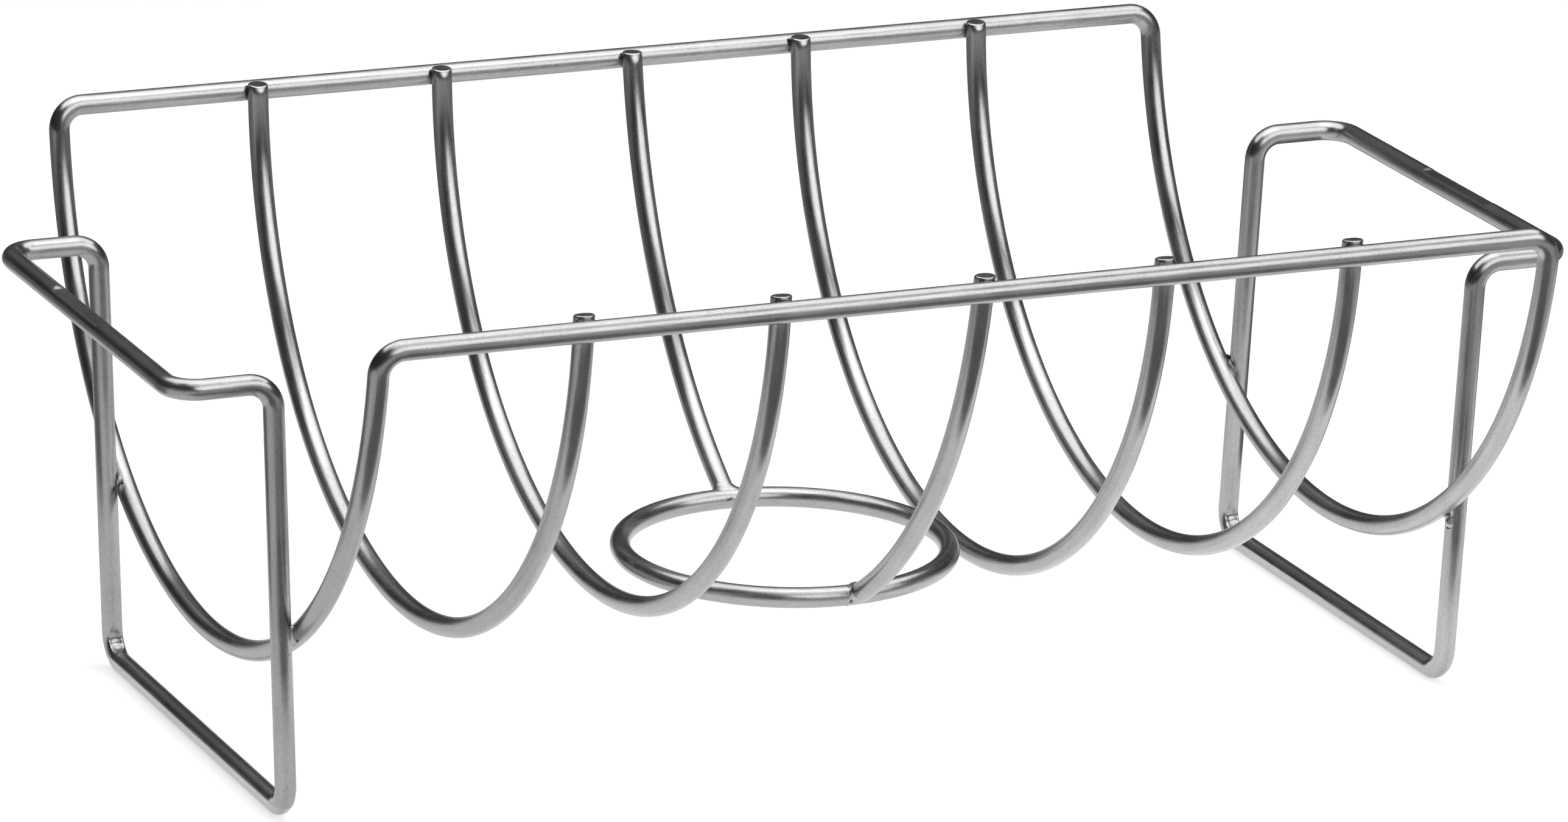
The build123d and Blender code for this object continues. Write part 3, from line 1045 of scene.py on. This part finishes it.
# from the front row to the back one, each from left to right
floor_flag_tones = (
    "grey grey grey grey grey grey grey",
    "pale pale dark dark dark grey dim",
    "pale pale light bright white bright dim",
    "dim dark light bright bright dark dim",
    "dim dark pale pale light dark dim",
    "dusky dusky dusky dusky dusky dim dim",
)
# emission levels of the cards: painted light and shade of the floor as the wires mirror it
floor_flag_levels = {
    "dark": 0.16,
    "dusky": 0.19,
    "dim": 0.28,
    "grey": 0.50,
    "pale": 0.66,
    "light": 0.82,
    "bright": 0.97,
}

overhead_place = Vector((0.13, 0.19, 0.855))
overhead_size = (1.57, 0.78)
overhead_radiance, overhead_turn = 1.87, -0.234

key_aim = Vector((0, 0, 0.08))
key_azimuth, key_elevation, key_distance = 22, 29.5, 3.0
key_size = (4.45, 1.87)
key_radiance = 2.0

world_fill = 0.12                # what lights the rack from all round

camera_azimuth, camera_elevation = -23.599, 16.992
camera_roll = math.radians(1.387)
camera_distance = 2.69292
camera_aim = Vector((0, 0, 0.07))
camera_right, camera_up = -0.170 * MM, 9.434 * MM    # from the aim, across the picture
camera_lens, camera_sensor = 215.220466, 36.0        # mm


def stage_mesh(name, vertices, faces, materials, kinds):
    """A mesh that is no part of the rack; kinds numbers the material of each face."""
    mesh = bpy.data.meshes.new(name)
    mesh.from_pydata(vertices, [], faces)
    for material in materials:
        mesh.materials.append(material)
    mesh.polygons.foreach_set("material_index", kinds)
    made = link_object(name, mesh)
    return made


def hang(name, vertices, faces, materials, kinds):
    """A flag: it shows in reflections alone, and throws no shadow."""
    flag = stage_mesh(name, vertices, faces, materials, kinds)
    flag.visible_camera = False
    flag.visible_diffuse = False
    flag.visible_shadow = False
    flag.visible_transmission = False


def seen_directly(tree):
    """1 for what the camera, a reflection or clear glass shows, 0 for what lights other things."""
    rays = add_node(tree, "ShaderNodeLightPath")
    seen = combined(tree, "MAXIMUM", rays.outputs["Is Camera Ray"], rays.outputs["Is Glossy Ray"])
    return combined(tree, "MAXIMUM", seen, rays.outputs["Is Transmission Ray"])


def stage_material(name):
    """A material without a shader; returns it, its tree and the socket for its surface."""
    material = bpy.data.materials.new(name)
    material.use_nodes = True
    tree = material.node_tree
    tree.nodes.clear()
    output = add_node(tree, "ShaderNodeOutputMaterial")
    return material, tree, output.inputs["Surface"]


def lifted_white(name, colour, lift):
    """A matt surface that the camera and reflections see lifted to white, its shadows kept."""
    material, tree, surface = stage_material(name)
    matt = add_node(tree, "ShaderNodeBsdfDiffuse")
    matt.inputs["Color"].default_value = (colour, colour, colour, 1)
    glow = add_node(tree, "ShaderNodeEmission")
    tree.links.new(combined(tree, "MULTIPLY", seen_directly(tree), lift), glow.inputs["Strength"])
    both = add_node(tree, "ShaderNodeAddShader")
    tree.links.new(matt.outputs["BSDF"], both.inputs[0])
    tree.links.new(glow.outputs["Emission"], both.inputs[1])
    tree.links.new(both.outputs["Shader"], surface)
    return material


def flag_material(name, level):
    """A studio flag: a plain card of one grey level."""
    material, tree, surface = stage_material(name)
    card = add_node(tree, "ShaderNodeEmission")
    card.inputs["Color"].default_value = (level, level, level, 1)
    tree.links.new(card.outputs["Emission"], surface)
    return material


def lay_floor():
    """The white floor that the rack stands on."""
    quarters = ((-1, -1), (1, -1), (1, 1), (-1, 1))
    corners = [(x * floor_half, y * floor_half, 0) for x, y in quarters]
    white = lifted_white("white_floor", floor_colour, floor_lift)
    stage_mesh("floor", corners, [(0, 1, 2, 3)], [white], [0])


def circle_point(radius, angle, z, centre=(0, 0)):
    """The point at an angle from +X on a level circle."""
    return (centre[0] + radius * math.cos(angle), centre[1] + radius * math.sin(angle), z)


def hang_flags():
    """Dim studio walls, a dark ceiling with a lit panel, and a faint glow high on the back wall."""
    angles = [2 * math.pi * i / wall_corners for i in range(wall_corners)]
    vertices, faces, kinds = [], [], []
    for i, angle in enumerate(angles):
        vertices += [circle_point(wall_radius, angle, z) for z in (wall_foot, wall_top)]
        a, b = 2 * i, 2 * ((i + 1) % wall_corners)
        faces.append((a, b, b + 1, a + 1))
        round_from_x = (math.degrees(angle) + 180) % 360 - 180
        kinds.append(1 if dim_wall_stretch[0] < round_from_x < dim_wall_stretch[1] else 0)
    ceiling = tuple(range(1, 2 * wall_corners, 2))
    cards = [flag_material("dark_wall_flag", dark_wall), flag_material("dim_wall_flag", dim_wall)]
    hang("studio_walls", vertices, faces + [ceiling], cards, kinds + [0])

    vertices = []
    for degrees in glow_angles:
        vertices += [circle_point(glow_radius, math.radians(degrees), z) for z in glow_heights]
    faces = [(2 * i, 2 * i + 2, 2 * i + 3, 2 * i + 1) for i in range(len(glow_angles) - 1)]
    card = flag_material("glow_flag", glow_level)
    hang("back_wall_glow", vertices, faces, [card], [0] * len(faces))

    *centre, height = panel_place
    panel = [circle_point(panel_radius, angle, height, centre) for angle in angles]
    card = flag_material("panel_flag", panel_level)
    hang("ceiling_panel", panel, [tuple(range(wall_corners))], [card], [0])


def lay_floor_flags():
    """What the wires mirror from below: cards of painted light and shade for a white table top that greys
    away from under the rack, dark cards in front of it and at its ends, and a dim room beyond. Where it is
    white, the floor shows."""
    vertices = [(x, y, floor_flag_height) for y in floor_flag_rows for x in floor_flag_columns]
    across = len(floor_flag_columns)
    tones = list(floor_flag_levels)
    faces, kinds = [], []
    for row, line in enumerate(floor_flag_tones):
        for column, tone in enumerate(line.split()):
            if tone != "white":
                a = row * across + column
                faces.append((a, a + 1, a + 1 + across, a + across))
                kinds.append(tones.index(tone))
    cards = [flag_material(tone + "_floor_flag", level) for tone, level in floor_flag_levels.items()]
    hang("floor_flags", vertices, faces, cards, kinds)


def soft_box(name, place, aim, size, radiance, turn=0.0):
    """A rectangular light of an even radiance, turned to face a point."""
    width, height = size
    data = bpy.data.lights.new(name, "AREA")
    data.shape = "RECTANGLE"
    data.size, data.size_y = width, height
    data.energy = radiance * math.pi * width * height
    lamp = link_object(name, data)
    lamp.location = place
    facing = (aim - place).to_track_quat("-Z", "Y")
    lamp.rotation_euler = (facing @ Quaternion((0, 0, 1), turn)).to_euler()
    lamp.visible_camera = False


def direction(azimuth, elevation):
    """The way from the rack to a place: degrees from the front round to the right, and upwards."""
    a, e = math.radians(azimuth), math.radians(elevation)
    return Vector((math.sin(a) * math.cos(e), -math.cos(a) * math.cos(e), math.sin(e)))


def light_studio():
    """A soft box over the rack, a larger one in front of it, and a weak fill from all round."""
    below = Vector((overhead_place.x, overhead_place.y, 0))
    soft_box("overhead_softbox", overhead_place, below, overhead_size, overhead_radiance, overhead_turn)
    key_place = key_aim + direction(key_azimuth, key_elevation) * key_distance
    soft_box("key_softbox", key_place, key_aim, key_size, key_radiance)
    world = bpy.data.worlds.new("studio")
    bpy.context.scene.world = world
    world.use_nodes = True
    tree = world.node_tree
    background = tree.nodes["Background"]
    strength = ranged(tree, seen_directly(tree), 0, 1, world_fill, 1.0)
    tree.links.new(strength, background.inputs["Strength"])
    background.inputs["Color"].default_value = (1, 1, 1, 1)


def place_camera():
    """A long lens from the front left, a little above, with the horizon slightly turned."""
    back = direction(camera_azimuth, camera_elevation)
    right = (-back).cross(Z).normalized()
    up = right.cross(-back)
    turned_right = right * math.cos(camera_roll) + up * math.sin(camera_roll)
    turned_up = up * math.cos(camera_roll) - right * math.sin(camera_roll)
    data = bpy.data.cameras.new("camera")
    data.sensor_width = camera_sensor
    data.lens = camera_lens
    data.clip_start, data.clip_end = 0.05, 60
    camera = link_object("camera", data)
    facing = Matrix((turned_right, turned_up, back)).transposed()
    camera.matrix_world = facing.to_4x4()
    camera.location = (
        camera_aim + back * camera_distance + turned_right * camera_right + turned_up * camera_up
    )
    bpy.context.scene.camera = camera


lay_floor()
hang_flags()
lay_floor_flags()
light_studio()
place_camera()
bpy.context.scene.view_settings.view_transform = "Standard"
